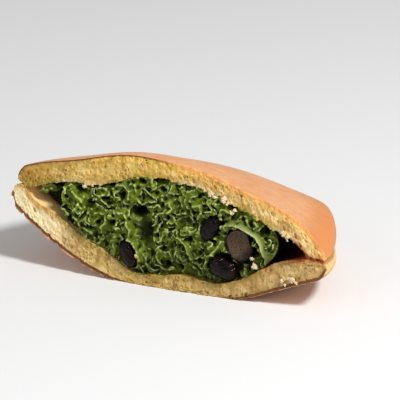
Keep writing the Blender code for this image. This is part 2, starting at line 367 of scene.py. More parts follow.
def modified(obj, kind, setting, value):
    """Puts what a modifier makes in place of the mesh."""
    setattr(obj.modifiers.new(kind, kind), setting, value)
    evaluated = obj.evaluated_get(bpy.context.evaluated_depsgraph_get())
    mesh = bpy.data.meshes.new_from_object(evaluated)
    obj.modifiers.clear()
    old, obj.data = obj.data, mesh
    bpy.data.meshes.remove(old)
    return obj


def thinned(obj):
    triangles = sum(len(p.vertices) - 2 for p in obj.data.polygons)
    if triangles > MOST_TRIANGLES:
        modified(obj, "DECIMATE", "ratio", MOST_TRIANGLES / triangles)
    return obj


def coordinates(mesh):
    points = np.empty(len(mesh.vertices) * 3, np.float32)
    mesh.vertices.foreach_get("co", points)
    return points.reshape(-1, 3).astype(float)


def write_attributes(mesh, **several):
    for name, values in several.items():
        attribute = mesh.attributes.new(name, "FLOAT", "POINT")
        attribute.data.foreach_set("value", np.asarray(values, np.float32))


def hollowness(mesh, rounds):
    """How far each vertex lies inside its smoothed surroundings, in mm. Pits are above 0, ridges below."""
    start = coordinates(mesh)
    count = len(start)
    pairs = np.empty(len(mesh.edges) * 2, np.int32)
    mesh.edges.foreach_get("vertices", pairs)
    a, b = pairs.reshape(-1, 2).T
    neighbours = np.maximum(np.bincount(a, minlength=count) + np.bincount(b, minlength=count), 1)
    smooth = start.copy()
    for _ in range(rounds):
        for axis in range(3):
            total = np.bincount(a, smooth[b, axis], count) + np.bincount(b, smooth[a, axis], count)
            smooth[:, axis] = 0.4 * smooth[:, axis] + 0.6 * total / neighbours
    normals = np.empty(count * 3, np.float32)
    mesh.vertices.foreach_get("normal", normals)
    return ((smooth - start) * normals.reshape(-1, 3)).sum(1) / MM


def finished_piece(obj, look, node=None):
    """Lays a piece down in the pose at rest, with its look, and hides the solid that it replaces, if any."""
    mesh = obj.data
    points = settled(coordinates(mesh))
    points[:, 1] = np.maximum(points[:, 1], CAD_BOX[0][1])  # nothing stands out in front of the solids
    mesh.vertices.foreach_set("co", points.astype(np.float32).ravel())
    mesh.update()
    mesh.shade_smooth()
    mesh.materials.clear()
    mesh.materials.append(look)
    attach(obj, "root")
    if node:
        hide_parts(node)
    return obj


# Pancakes

PANCAKE_SIDE, PANCAKE_FRONT, PANCAKE_BACK = 46.2 * MM, 0.9 * MM, 46.5 * MM  # reach of the lattice
THICKEST = 5.4 * MM  # more than half the thickness of a pancake anywhere
POROUS_TO = 2.2 * MM  # pores are made this far behind the cut
RAGGED_TO = 0.8 * MM  # and its edges are ragged about this far
FINE, COARSE, BROAD = 0.5, 1.5, 4.5  # sizes in mm of what the knife left rough
FINE_ROUGH, COARSE_ROUGH, BROAD_ROUGH = 0.08, 0.20, 0.26  # and heights
CRUST = 0.4 * MM  # thickness of the skin, which has no pores

PORES_PER_MM2 = 3.0
PORE_RADIUS, WIDEST_PORE = 0.15 * MM, 0.5 * MM
PORE_SPREAD = 0.5  # of how much wider others are, as a power of e
PORE_TALL = (0.9, 1.7)  # height over width
PORE_MIDDLE, DEEP_PORE_MIDDLE = (-0.75, 0.1), (0.1, 0.8)  # behind the cut, in radiuses
DEEP_PORES = 0.05  # share of them

# Ragged crumb, in mm: height, x of the middle and half width
UPPER_TORN, UPPER_TORN_MOST = 0.65, ((0.6, 9, 9), (0.5, 33, 4), (0.5, -26, 7))
LOWER_TORN = 0.45
UPPER_SCALLOPS = 0.12
LOWER_SCALLOPS, LOWER_SCALLOPS_MORE = 0.25, 0.75


def stamp_pores(field, axes, halves, seed):
    """Takes pores out of the crumb at the cut, most of them shallow, where the half thickness is halves."""
    rng = np.random.default_rng(seed)
    x_axis, w_axis, y_axis = axes
    area = (x_axis[-1] - x_axis[0]) * (w_axis[-1] - w_axis[0]) / MM**2
    for _ in range(int(area * PORES_PER_MM2)):
        x = rng.uniform(x_axis[0], x_axis[-1])
        w = rng.uniform(w_axis[0], w_axis[-1])
        radius = min(PORE_RADIUS * math.exp(PORE_SPREAD * abs(rng.normal())), WIDEST_PORE)
        y = radius * rng.uniform(*PORE_MIDDLE)
        if rng.random() < DEEP_PORES:
            y = radius * rng.uniform(*DEEP_PORE_MIDDLE)
        tall = rng.uniform(*PORE_TALL)
        half = np.interp(x, x_axis, halves)
        if half - w < CRUST + 0.6 * radius or half + w < -0.2 * MM:
            continue
        spans = []
        for axis, middle, reach in ((x_axis, x, radius), (w_axis, w, radius * tall), (y_axis, y, radius)):
            spans.append(slice(*np.searchsorted(axis, [middle - 1.2 * reach, middle + 1.2 * reach])))
        box = field[tuple(spans)]
        offsets = x_axis[spans[0]] - x, (w_axis[spans[1]] - w) / tall, y_axis[spans[2]] - y
        across, up, deep = np.meshgrid(*offsets, indexing="ij", sparse=True)
        away = np.sqrt(across**2 + up**2 + deep**2)
        np.maximum(box, (radius - away).astype(np.float32), out=box)


def upper_raggedness(x):
    """Height in mm of the torn crumb on the upper pancake's inner edge, most where the cream came off it."""
    return sum((top * hump(x - at * MM, wide * MM) for top, at, wide in UPPER_TORN_MOST), UPPER_TORN)


def lower_scallops(x):
    """Height in mm of the scallops that the knife left on the lower outer edge, most at the left."""
    return LOWER_SCALLOPS + LOWER_SCALLOPS_MORE * (1 - rising(x, -20 * MM, -4 * MM))


def pancake_field(layer, seed, outer_ragged, inner_ragged):
    """Field and lattice of a pancake laid flat: along the cut, out to its skin and inwards."""
    x_axis = np.arange(-PANCAKE_SIDE, PANCAKE_SIDE, PANCAKE_PITCH)
    out_axis = np.arange(-THICKEST, THICKEST, PANCAKE_PITCH)
    y_axis = layers(-PANCAKE_FRONT, POROUS_TO, PANCAKE_BACK, PANCAKE_PITCH, PANCAKE_GROWTH, PANCAKE_WIDEST)
    share, _, half = layer(x_axis[:, None], y_axis[None, :])
    rim, half = rim_share(share)[:, None, :], half[:, None, :]
    outward = out_axis[None, :, None]
    field = ((np.sqrt((outward / half) ** 2 + rim**2) - 1) * half).astype(np.float32)

    near = int(np.searchsorted(y_axis, POROUS_TO))
    x, y = x_axis[:, None, None], y_axis[None, None, :near]
    rough = Noise(seed)
    fine = rough(x, outward, y, FINE)
    coarse = rough(x + 0.05, outward, y, COARSE)
    broad = rough(x + 0.11, outward, y, BROAD)
    at_cut = np.exp(-np.maximum(y, 0) / RAGGED_TO)
    inner_edge = 1 - rising(outward + 0.2 * half[:, :, :near], -1.2 * MM, 1.2 * MM)
    ragged = inner_ragged(x) * inner_edge + outer_ragged(x) * (1 - inner_edge)
    field[:, :, :near] += (ragged * MM * at_cut * (coarse + 0.45 * fine)).astype(np.float32)
    cut = (COARSE_ROUGH * coarse + FINE_ROUGH * fine + BROAD_ROUGH * broad) * MM - y
    field[:, :, :near] = np.maximum(field[:, :, :near], cut.astype(np.float32))
    axes = (x_axis, out_axis, y_axis)
    stamp_pores(field, axes, half[:, 0, int(np.searchsorted(y_axis, 0))], seed)
    return field, axes


def pancake(node, layer, outer_side, seed, look, outer_ragged, inner_ragged):
    """A pancake with open crumb at its cut. outer_side is 1 where its skin is above and -1 where below."""
    points, quads = largest_part(*surface_net(*pancake_field(layer, seed, outer_ragged, inner_ragged)))
    points = points[:, [0, 2, 1]]
    if outer_side > 0:
        quads = quads[:, ::-1]
    points[:, 2] = layer(points[:, 0], points[:, 1])[1] + outer_side * points[:, 2]
    obj = thinned(mesh_from(node.replace("pancake", "castella"), points, quads))
    mesh = obj.data
    x, y, z = coordinates(mesh).T
    share, middle, half = layer(x, y)
    side = np.clip(outer_side * (z - middle) / half, -1.3, 1.3)
    rim = np.minimum(rim_share(share), 1.2)
    depth = half * (1 - np.hypot(np.maximum(side, 0), rim) + np.maximum(-side, 0))
    write_attributes(
        mesh,
        skin_depth=depth / MM,
        inner_depth=half * (1 + side) / MM,
        rim=np.minimum(share, 1.1),
        side=side,
        along=x / MM,
        behind=y / MM,
        torn=inner_ragged(x) + 0 * x,
        hollow=hollowness(mesh, 6),
    )
    return finished_piece(obj, look, node)


# Cream

CREAM_X, CREAM_Z = (-40 * MM, 32 * MM), (-17.5 * MM, 11.5 * MM)  # where its lattice starts and ends
CREAM_FRONT, CREAM_BACK = 2.8 * MM, 37.5 * MM
TORN_TO = 5.0 * MM  # the relief reaches this far behind the cut

# Relief of the torn face: heights in mm, sizes of the noise in mm, and widths as shares of its swing
SWIRL, WALLS, FOLDS, LUMPS = Noise(5), Noise(6), Noise(7), Noise(8)
BEND, BEND_SIZE = 2.6 * MM, 4.5
WALL_HEIGHT, WALL_WIDTH, WALL_SIZE = 1.35, 0.27, 2.9
FOLD_HEIGHT, FOLD_WIDTH, FOLD_SIZE = 0.55, 0.28, 1.6
BETWEEN_WALLS = -1.3
LUMP_LAYERS = ((0.8, 0, 3.8), (0.45, 0.07, 1.4), (0.20, 0.21, 0.65))  # height, stretch of the noise, size
LIP_MIDDLE = (19.5 * MM, -6.0 * MM)
LIP_RADIUS = 9.0 * MM
LIP_HEIGHT = 1.8
POCKET_DEPTH, SMEAR_HEIGHT = 4.0, 3.5  # of the hollow at the left tip, and of the smear in it
SMEAR = (-37.9, 0.4, 4.6, 1.9)  # x and z of the middle, half width, half height

PITS = (
    (-8.7, 0.3, 2, 1.3, 5), (-6.1, -4.4, 2.4, 3.6, 2.6), (-15.6, -4.5, 0.9, 0.9, 3),
    (-13.9, 3.4, 0.8, 1, 3), (-22.5, -0.6, 1.5, 0.8, 2.5), (-26, 2.3, 1.6, 0.8, 3),
    (-17.6, 5.3, 1.2, 0.7, 3), (-9, 8.2, 1.2, 0.6, 2.5), (-3, 7.4, 1, 0.8, 2.5),
    (-3.4, -9.9, 0.9, 0.9, 2.5), (1.1, -11.8, 0.9, 1, 2.5), (5, -11.7, 1, 0.8, 2.5),
    (7.8, 0.1, 0.9, 0.8, 2.5), (6.6, -3.6, 0.8, 0.9, 2), (17, 7.2, 1.2, 0.8, 3),
    (25.3, -3, 0.8, 1.2, 3), (26.8, 3, 1.3, 1.3, 3), (17, -6.1, 2.7, 1.2, 2.6),
    (21, -8, 1.8, 1.2, 2.6), (24.2, -7.2, 1, 1.4, 2.2),
)  # in mm: x and z of the middle, half width, half height, and depth
SMALL_PITS = 60
SMALL_PITS_X, SMALL_PITS_Z = (-30, 29), (-14, 9)  # mm
SMALL_PIT_SIZE, SMALL_PIT_DEPTH = (0.35, 0.8), (1.0, 2.6)
TONES = (
    (-21, -2.5, 8, 6, 0.4), (-26, -3, 3, 3.2, 0.6), (-12.2, -3.6, 1.6, 3.4, 0.7),
    (-8, -10.6, 1.6, 2.4, 0.6), (-30, 2, 3, 2.4, 0.3), (5.5, -6, 2.2, 2, 0.3),
    (13.6, -5.8, 1.2, 3, 0.7), (-6, -5, 2.6, 3.6, -0.8), (4.6, 1, 2.2, 1.5, -0.7),
    (-21.8, -0.6, 2.4, 1.3, -0.7), (-17, -8.4, 3, 2, -0.4), (1, -9.6, 4, 2.4, -0.3),
    (-24, 4.4, 3, 1.6, -0.5), (25.4, -6.4, 1.6, 2.2, -0.6), (7, -6.8, 6, 4.6, -0.5),
    (17, -13.4, 5, 1.4, -1), (12.4, -11, 1.6, 1.6, -0.6), (20.6, -10, 1.8, 1.8, -0.6),
)  # lighter and darker places in mm: x and z of the middle, half width, half height, and how light; the dark ones round and under the second bean are painted shade
CURLS = (
    (1.5, 0.55, ((-10.4, -7.6), (-10.3, -5.4), (-11.2, -2.8), (-12.8, -1.2), (-14.6, -1.3))),
    (1.3, 0.5, ((-28.3, 1.8), (-26.6, 0.9), (-24.6, -0.6))),
    (1.3, 0.55, ((-25.8, -1.8), (-26.6, -3.6), (-26.2, -5.6), (-24, -7.4), (-21.4, -8.6))),
    (1.4, 0.55, ((-10.2, -8), (-8.4, -8.6), (-7, -10.2), (-6.4, -12.6))),
    (1.2, 0.45, ((3.8, -4), (5.6, -5.6), (7, -7.4), (8.2, -8.6))),
    (1.2, 0.5, ((11.4, -10.4), (12.4, -8.4), (13.6, -6.2), (14.8, -4.6), (15.4, -2.4))),
    (1.1, 0.45, ((-17, 4.6), (-15.6, 5.8), (-13.6, 6.2), (-11.8, 5), (-11.6, 3))),
    (1.1, 0.45, ((6.6, 5.2), (8.2, 5.6), (9.2, 4.2), (8.6, 2.4))),
    (1, 0.45, ((-1.6, 3.4), (-0.4, 4.6), (0.6, 3), (-0.2, 1.6))),
    (1, 0.4, ((-1.8, -12.8), (0.6, -13.2), (3, -12.8))),
    (1.1, 0.5, ((-20.6, -3), (-19, -2.2), (-17.6, -2.6), (-17, -4.4), (-18.2, -6.2))),
)  # in mm: height, half thickness, and points along the crest


def in_oval(x, z, middle_x, middle_z, wide, tall):
    """0 in the middle of an oval, given in mm, and 1 on its edge."""
    return np.hypot((x / MM - middle_x) / wide, (z / MM - middle_z) / tall)


def bean_axes(bean, x, z):
    """Across and along a bean, as shares of its half width and half length."""
    turn = math.radians(bean.lean)
    dx, dz = x - bean.x * MM, z - bean.z * MM
    across = dx * math.cos(turn) + dz * math.sin(turn)
    along = dz * math.cos(turn) - dx * math.sin(turn)
    return across / (bean.width * MM), along / (bean.length * MM)


def from_line(x, z, points):
    """Distance in mm of each point from a bent line."""
    nearest = np.inf
    for (x0, z0), (x1, z1) in zip(points, points[1:]):
        dx, dz = x1 - x0, z1 - z0
        part = np.clip(((x / MM - x0) * dx + (z / MM - z0) * dz) / (dx * dx + dz * dz), 0, 1)
        nearest = np.minimum(nearest, np.hypot(x / MM - x0 - part * dx, z / MM - z0 - part * dz))
    return nearest


def small_pits():
    rng = np.random.default_rng(21)
    for _ in range(SMALL_PITS):
        middle = rng.uniform(*SMALL_PITS_X), rng.uniform(*SMALL_PITS_Z)
        yield (*middle, *rng.uniform(*SMALL_PIT_SIZE, 2), rng.uniform(*SMALL_PIT_DEPTH))


def pits(x, z):
    """How deep the pits are, in mm, and how much of the walls and lumps they leave."""
    deep, left = 0.0, 1.0
    for *place, depth in (*PITS, *small_pits()):
        pit = hump(in_oval(x, z, *place), 1.0)
        deep, left = deep * (1 - pit) + depth * pit, left * (1 - 0.8 * pit)
    return deep, left


def off_lip(x, y, z):
    """How far off the crest of the lip, in mm, and how fully the lip stands there."""
    across, up = x - LIP_MIDDLE[0], z - LIP_MIDDLE[1]
    off_crest = (np.hypot(across, up) - LIP_RADIUS) / MM + 0.6 * SWIRL(x, y, z, 5.0)
    return off_crest, np.clip((across + up) / LIP_RADIUS, 0, 1) * rising(x, 13.5 * MM, 17.5 * MM)


def walls_and_lumps(x, y, z):
    """Thin curled walls of cream, strong here and weak there, over lumps of several sizes."""
    bend_x = BEND * SWIRL(x, y, z, BEND_SIZE)
    bend_z = BEND * SWIRL(x + 0.09, y, z, BEND_SIZE)
    large = WALLS(x + bend_x, y, z + bend_z, WALL_SIZE)
    small = FOLDS(x + 0.6 * bend_z, y, z - 0.6 * bend_x, FOLD_SIZE)
    strong = np.maximum(0.95 + 1.2 * LUMPS(x + 0.13, y, z, 3.4), 0.1)
    walls = WALL_HEIGHT * hump(large, WALL_WIDTH) + FOLD_HEIGHT * hump(small, FOLD_WIDTH)
    relief = BETWEEN_WALLS + strong * walls
    for height, stretch, size in LUMP_LAYERS:
        relief = relief + height * LUMPS(x + stretch, y, z, size)
    return relief


def torn(x, y, z, inside, above_bottom):
    """How far the cream reaches out of the cut, in mm. inside is 1 midway between the pancakes, 0 at them."""
    relief = walls_and_lumps(x, y, z)
    wavering = 0.5 * SWIRL(x + 0.2, y, z, 2.2) * MM
    for height, thick, points in CURLS:
        away = from_line(x + wavering, z + 0.7 * wavering, points)
        relief = relief * (1 - 0.7 * hump(away, 2.2 * thick)) + (height - 0.2) * hump(away, thick)
    deep, left = pits(x, z)
    relief = relief * left - deep + 0.7 * (1 - left) * LUMPS(x + 0.37, y, z, 1.3)
    for bean in BEANS:
        away = np.hypot(*bean_axes(bean, x, z)) + 0.22 * LUMPS(x + 0.17, y, z, 2.2)
        clear = 1 - rising(away, bean.bared - 0.12, bean.bared + 0.05)
        relief = relief * (1 - clear) - bean.recess * clear
    off_crest, beside = off_lip(x, y, z)
    relief = relief * (1 - 0.65 * beside * hump(off_crest, 0.7)) + beside * LIP_HEIGHT * hump(off_crest, 0.42)
    relief = relief - beside * 0.7 * hump(off_crest - 1.7, 0.8)
    # the hollow at the left tip with its smear of cream, and the lower end there, which lies back
    pocket = 1 - rising(x + wavering, -32.5 * MM, -30.0 * MM)
    smear = 1 - rising(in_oval(x, z, *SMEAR) + 0.35 * LUMPS(x + 0.29, y, z, 1.8), 0.7, 1.05)
    relief = relief * (1 - pocket * (0.5 - 0.2 * smear)) - pocket * (POCKET_DEPTH - SMEAR_HEIGHT * smear)
    low_left = (1 - rising(above_bottom + wavering / MM, 1.8, 3.2)) * (1 - rising(x, -29 * MM, -20 * MM))
    relief = relief - low_left
    edge = 1 - rising(inside, 0.02, 0.30)
    gaps = rising(SWIRL(x + 0.31, y, z, 3.2), 0.0, 0.35) * rising(z, 0, 3 * MM)
    return 0.5 * inside + relief - edge * (0.5 + 2.2 * gaps)


def cream_field():
    """Field and lattice of the lens of cream between the pancakes: along the cut, up and inwards."""
    x_axis, z_axis = np.arange(*CREAM_X, CREAM_PITCH), np.arange(*CREAM_Z, CREAM_PITCH)
    y_axis = layers(-CREAM_FRONT, TORN_TO, CREAM_BACK, CREAM_PITCH, CREAM_GROWTH, CREAM_WIDEST)
    held = np.maximum(y_axis, 0)[None, :]
    x = x_axis[:, None]
    _, upper_middle, upper_half = upper_layer(x, held)
    _, lower_middle, lower_half = lower_layer(x, held)
    top, bottom = upper_middle - upper_half, lower_middle + lower_half
    middle, half = ((top + bottom) / 2)[:, None, :], ((top - bottom) / 2)[:, None, :]
    angle = np.arctan2(held, x)
    side = np.where(np.cos(angle) > 0, CREAM_REACH_RIGHT, CREAM_REACH_LEFT)
    reach = 1 / np.sqrt((np.cos(angle) / side) ** 2 + (np.sin(angle) / CREAM_REACH_BACK) ** 2)
    into_edge = np.maximum((np.hypot(x, held) / reach - CREAM_ROUND_START) / (1 - CREAM_ROUND_START), 0)
    rise = (z_axis[None, :, None] - middle) / half
    across_lens = np.sqrt(rise**2 + into_edge[:, None, :] ** 2)
    field = ((across_lens - 1) * half).astype(np.float32)

    near = int(np.searchsorted(y_axis, TORN_TO))
    inside = np.clip(1 - across_lens[:, :, :near] ** 2, 0, 1)
    x, y, z = x_axis[:, None, None], y_axis[None, None, :near], z_axis[None, :, None]
    above_bottom = (z - bottom[:, None, :near]) / MM
    out = torn(x, y, z, inside, above_bottom) * MM
    field[:, :, :near] = np.maximum(field[:, :, :near], (-y - out).astype(np.float32))
    return field, (x_axis, z_axis, y_axis)


def cream(look):
    points, quads = largest_part(*surface_net(*cream_field()))
    points = points[:, [0, 2, 1]]
    obj = thinned(mesh_from("torn_cream", points, quads[:, ::-1]))
    mesh = obj.data
    x, y, z = coordinates(mesh).T
    _, lower_middle, lower_half = lower_layer(x, np.maximum(y, 0))
    off_crest, beside = off_lip(x, y, z)
    write_attributes(
        mesh,
        hollow=hollowness(mesh, 4),
        sunk=hollowness(mesh, 30),
        by_bean=np.min([np.hypot(*bean_axes(bean, x, z)) for bean in BEANS], axis=0),
        behind=y / MM,
        pit=pits(x, z)[0],
        tone=sum(light * hump(in_oval(x, z, *place), 1.0) for *place, light in TONES),
        lip=beside * hump(off_crest, 0.45) * rising(z, -7 * MM, -1 * MM),
        above_bottom=(z - lower_middle - lower_half) / MM,
    )
    return finished_piece(obj, look, "matcha_cream")


# Beans

BEAN_AROUND, BEAN_ALONG = 150, 100
BEAN_SEED = 40
BEAN_SEAM, BEAN_CREASES, BEAN_SWELL = 0.06, 0.045, 0.035  # as shares of its size


def ball_grid(around, along):
    """Grid of points over a ball, from pole to pole: how far to its side, to its back and up."""
    turn = np.linspace(0, 2 * math.pi, around, endpoint=False)[:, None]
    polar = np.linspace(0, math.pi, along)[None, :]
    return np.sin(polar) * np.cos(turn), np.sin(polar) * np.sin(turn), np.cos(polar) + 0 * turn


def ball_quads(around, along):
    i = np.arange(around)[:, None]
    j = np.arange(along - 1)[None, :]
    here, there = i * along + j, (i + 1) % around * along + j
    return np.stack([here, here + 1, there + 1, there], -1).reshape(-1, 4)


def welded(obj):
    """Merges the points of each pole."""
    return modified(obj, "WELD", "merge_threshold", 1e-6)


def bean_surface(bean, seed):
    """Points over a bean, wrinkled a little, with a seam at its side."""
    side, back, along = ball_grid(BEAN_AROUND, BEAN_ALONG)
    fuller = 1 + BARREL * along**2 * (1 - along**2)
    seam = BEAN_SEAM * np.exp(-((side - 0.9) ** 2 + along**2) / 0.16)
    skin = Noise(seed)
    creases = BEAN_CREASES * hump(skin(2.3 * side, 2.3 * back, 1.3 * along, UNITLESS), 0.10)
    swell = BEAN_SWELL * skin(1.5 * side + 9, 1.5 * back, 1.5 * along, UNITLESS) - 0.01
    size = 1 - creases + swell
    across = (side * fuller - seam) * size * bean.width * MM
    lengthways = along * size * bean.length * MM
    turn = math.radians(bean.lean)
    x = across * math.cos(turn) - lengthways * math.sin(turn) + bean.x * MM
    z = across * math.sin(turn) + lengthways * math.cos(turn) + bean.z * MM
    y = back * fuller * size * bean.depth * MM + bean.y * MM
    return np.stack([x, y, z], -1).reshape(-1, 3)


def cut_flat(points, bean):
    """Puts what stands in front of the knife's way onto it, as mealy flesh with a crack.

    Also tells how far in from the skin each point was, in mm, and how far towards the end of the flesh that
    is darkened as painted shade.
    """
    x, y, z = points.T
    across, along = bean_axes(bean, x, z)
    meal = Noise(50)
    inward = np.maximum(CUT_BEAN_FRONT - y, 0) / MM
    crack = hump(across - 0.1 - 0.25 * meal(3 * along, 0.5, 0.5, UNITLESS), 0.05) * hump(along, 0.6)
    rough = 0.14 * meal(x, 0 * y, z, 1.1) + 0.06 * meal(x, 0 * y, z, 0.4)
    level = CUT_BEAN_FRONT + (0.25 * rising(inward, 0, 0.6) + rough + 0.25 * crack) * MM
    # the last value leads to painted shade at one end of the flesh
    return np.stack([x, np.where(inward > 0, level, y), z], -1), inward, 0.4 * across - 0.9 * along


def moist_bean(number, look):
    points = bean_surface(BEANS[number], BEAN_SEED + number)
    inward = end = np.zeros(len(points))
    if number == CUT_BEAN:
        points, inward, end = cut_flat(points, BEANS[number])
    obj = mesh_from(f"moist_bean_{number + 1}", points, ball_quads(BEAN_AROUND, BEAN_ALONG))
    write_attributes(obj.data, inward=inward, end=end)
    return finished_piece(welded(obj), look, f"adzuki_bean_{number + 1}")


# Crumbs

CRUMBS = (
    (10.9, -0.3, 9.4, 0.65), (12.1, -0.5, 8.9, 0.45), (14.8, -0.4, 8.7, 0.7), (15.9, -0.6, 8, 0.4),
    (17.6, -0.9, 6, 0.6), (18.3, -0.8, 6.9, 0.35), (32.2, -0.1, 3.6, 0.65), (33.6, -0.2, 3.2, 0.55),
    (24.9, -0.9, -4.6, 0.4), (25.8, -1, -6.5, 0.6), (33.6, -0.3, -8.7, 0.6),
    (34.6, -0.3, -9.5, 0.35), (36.4, -0.3, -7.8, 0.55), (37.5, -0.2, -8.3, 0.4),
    (35.2, -0.3, -7.6, 0.35), (-7.2, -0.9, -11.5, 0.4), (-24.6, -0.4, 3.4, 0.45),
)  # in mm: x, y and z of the middle, and radius
CRUMB_AROUND, CRUMB_ALONG = 36, 24
CRUMB_LUMPS = ((0.55, 1.3), (0.4, 2.9))  # height and how many, to a radius
CRUMB_STRETCH = 0.3  # how far it is stretched or squeezed along each axis
STRETCH_PHASES = np.array([1.7, 2.9, 4.3])


def crumbs(look):
    """Loose crumbs that the knife dragged onto the cut, as one piece."""
    ball = np.stack(ball_grid(CRUMB_AROUND, CRUMB_ALONG), -1).reshape(-1, 3)
    grid = ball_quads(CRUMB_AROUND, CRUMB_ALONG)
    lump = Noise(60)
    points, quads = [], []
    for number, (*middle, radius) in enumerate(CRUMBS):
        a, b, c = ball.T
        size = 1
        for height, often in CRUMB_LUMPS:
            size = size + height * lump(often * a + 5 * number, often * b, often * c, UNITLESS)
        stretch = 1 + CRUMB_STRETCH * np.sin(number * STRETCH_PHASES)
        points.append((ball * size[:, None] * stretch * radius + np.array(middle)) * MM)
        quads.append(grid + number * len(ball))
    obj = welded(mesh_from("loose_crumbs", np.concatenate(points), np.concatenate(quads)))
    return finished_piece(obj, look)


# Looks

TINT = "MULTIPLY"


class Look:
    """A material whose nodes are made one call at a time. Its places and attributes are in mm."""

    def __init__(self, name):
        self.material = bpy.data.materials.new(name)
        self.material.use_nodes = True
        self.tree = self.material.node_tree
        self.shader = self.tree.nodes["Principled BSDF"]
        place = self.node("TexCoord", {}, "Object")
        self.place = self.node("VectorMath", {0: place, "Scale": 1 / MM}, operation="SCALE")

    def node(self, kind, inputs, output=0, **settings):
        """Makes a node with these settings and inputs, and gives one of its outputs."""
        node = self.tree.nodes.new("ShaderNode" + kind)
        for name, value in settings.items():
            setattr(node, name, value)
        for name, value in inputs.items():
            self.put(node.inputs[name], value)
        return node.outputs[output]

    def put(self, socket, value):
        if isinstance(value, bpy.types.NodeSocket):
            self.tree.links.new(value, socket)
        elif isinstance(value, tuple):
            socket.default_value = (*value, 1.0)
        else:
            socket.default_value = value

    def set(self, **values):
        for name, value in values.items():
            self.put(self.shader.inputs[name.replace("_", " ")], value)

    def attributes(self, *names):
        return [self.node("Attribute", {}, "Fac", attribute_name=name) for name in names]

    def noise(self, size_mm, detail, rough=0.5):
        inputs = {"Vector": self.place, "Scale": 1 / size_mm, "Detail": detail, "Roughness": rough}
        return self.node("TexNoise", inputs, "Fac")

    def cells(self, size_mm):
        return self.node("TexVoronoi", {"Vector": self.place, "Scale": 1 / size_mm}, "Distance")

    def math(self, operation, a, b):
        return self.node("Math", {0: a, 1: b}, operation=operation)

    def sum(self, a, b):
        return self.math("ADD", a, b)

    def both(self, a, b):
        return self.math("MULTIPLY", a, b)

    def shifted(self, value, noise, reach):
        """value moved up and down by as much as reach."""
        return self.sum(value, self.both(self.math("SUBTRACT", noise, 0.5), 2 * reach))

    def step(self, value, low, high):
        """0 where value is at low, 1 where it is at high, smooth between them."""
        inputs = {"Value": value, "From Min": min(low, high), "From Max": max(low, high)}
        if low > high:
            inputs.update({"To Min": 1.0, "To Max": 0.0})
        return self.node("MapRange", inputs, interpolation_type="SMOOTHSTEP")

    def ramp(self, value, colours, spread=0.5):
        """The colours in turn, as value goes from 0.5 - spread to 0.5 + spread."""
        colour = self.node("ValToRGB", {"Fac": value}, "Color")
        ramp = colour.node.color_ramp
        ramp.interpolation = "EASE"
        places = [0.5 - spread + 2 * spread * n / (len(colours) - 1) for n in range(len(colours))]
        for place in places[1:-1]:
            ramp.elements.new(place)
        for element, place, shade in zip(ramp.elements, places, colours):
            element.position = place
            element.color = (*shade, 1.0)
        return colour

    def mix(self, share, a, b, how="MIX"):
        return self.node("Mix", {0: share, 6: a, 7: b}, 2, data_type="RGBA", blend_type=how)

    def layered(self, base, *layers):
        """Lays layers over base in turn, each with its colour, how much it covers, and where it lies."""
        for colour, share, where, *how in layers:
            base = self.mix(self.both(where, share), base, colour, *how)
        return base

    def finished(self, colour, rough, shine, height, distance_mm, strength):
        """The material with this colour and roughness, and with height as its bump."""
        bump = {"Strength": strength, "Distance": distance_mm * MM, "Height": height}
        self.set(Normal=self.node("Bump", bump))
        self.set(Base_Color=colour, Roughness=rough, Specular_IOR_Level=shine)
        return self.material


# What sets a pancake's looks apart, with places in mm along the cut: tints of the crumb at even steps from
# the left tip to the right one (darker in the middle and to the right on the lower pancake, as painted
# shade), its tint near the skin and from where on, how pale the left tip is (on the lower pancake partly
# painted light), how green the cream has made the crumb, from where on the skin's line on the cut is golden
# instead of dark, how wide it is where it is dark (wider on the lower pancake, partly painted shade under its
# edge), and how far up the rim is pale, from -1 at the inner face to 1 at the skin
Bake = namedtuple("Bake", "tints outer_tint outer_from pale_end stain line_from line_width pale_side")
UPPER_BAKE = Bake(
    ((0.50, 0.375, 0.105), (0.96, 0.90, 0.55), (1.06, 0.88, 0.56), (0.94, 0.86, 0.66), (1.12, 1.06, 0.95)),
    (1.22, 1.12, 0.85), -32, 0.0, 0.7, -10, 0.5, 0.1,
)
# Lower pancake: crumb tinted darker in the middle and to the right as painted shade, its pale left tip partly
# painted light, its wide dark line partly painted shade.
LOWER_BAKE = Bake(
    ((1.0, 0.98, 0.96), (0.84, 0.79, 0.60), (0.78, 0.71, 0.51), (0.70, 0.63, 0.48), (0.80, 0.74, 0.64)),
    (0.74, 0.70, 0.64), -12, 0.85, 0.35, 60, 1.0, 0.8,
)
SKIN_TONES = ((0.66, 0.31, 0.138), (0.72, 0.36, 0.17), (0.77, 0.40, 0.195))
RIM_TONES = ((0.78, 0.47, 0.165), (0.84, 0.54, 0.205), (0.88, 0.61, 0.26))
CRUMB_TONES = ((0.50, 0.30, 0.095), (0.75, 0.53, 0.225), (0.94, 0.75, 0.43))
LOOSE_CRUMB_TONES = ((0.55, 0.40, 0.19), (0.78, 0.62, 0.36), (0.92, 0.80, 0.56))
CREAM_TONES = ((0.053, 0.076, 0.002), (0.093, 0.132, 0.004), (0.144, 0.194, 0.008))
BEAN_TONES = ((0.001, 0.0005, 0.0005), (0.012, 0.004, 0.003))
FLESH_TONES = ((0.055, 0.032, 0.018), (0.140, 0.090, 0.056))


